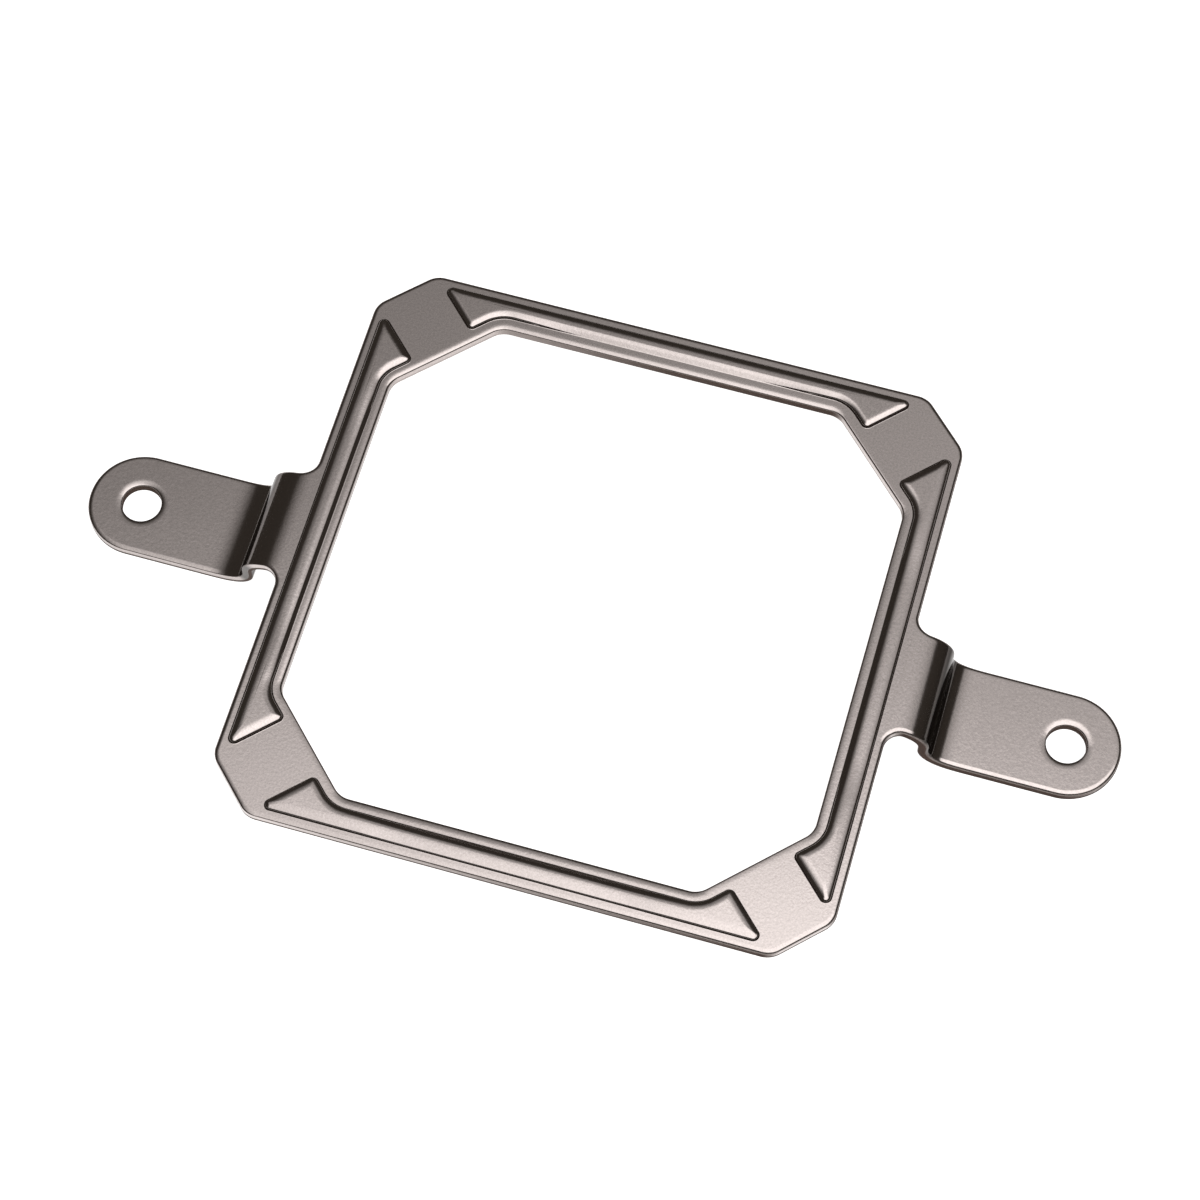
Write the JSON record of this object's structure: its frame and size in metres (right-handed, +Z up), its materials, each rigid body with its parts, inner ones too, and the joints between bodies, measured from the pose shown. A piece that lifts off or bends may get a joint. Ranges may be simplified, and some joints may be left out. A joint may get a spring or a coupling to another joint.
{
  "type": "cpu cooler mounting bracket",
  "caption": "Pressed steel bracket with an open square frame, raised stiffening beads and stepped-down screw ears; clamps a liquid cooler's pump onto a processor socket.",
  "frame": {"origin": "middle of the bracket, level with the undersides of both ears, which rest on z = 0", "axes": "+X along the line through the ears' screw holes, +Z up out of the beaded face of the frame"},
  "size_m": [0.112, 0.065, 0.0071],
  "materials": {
    "plating": "black nickel plated steel, smooth with a slight haze"
  },
  "bodies": {
    "root": {"mounting_bracket": "plating"}
  },
  "joints": []
}
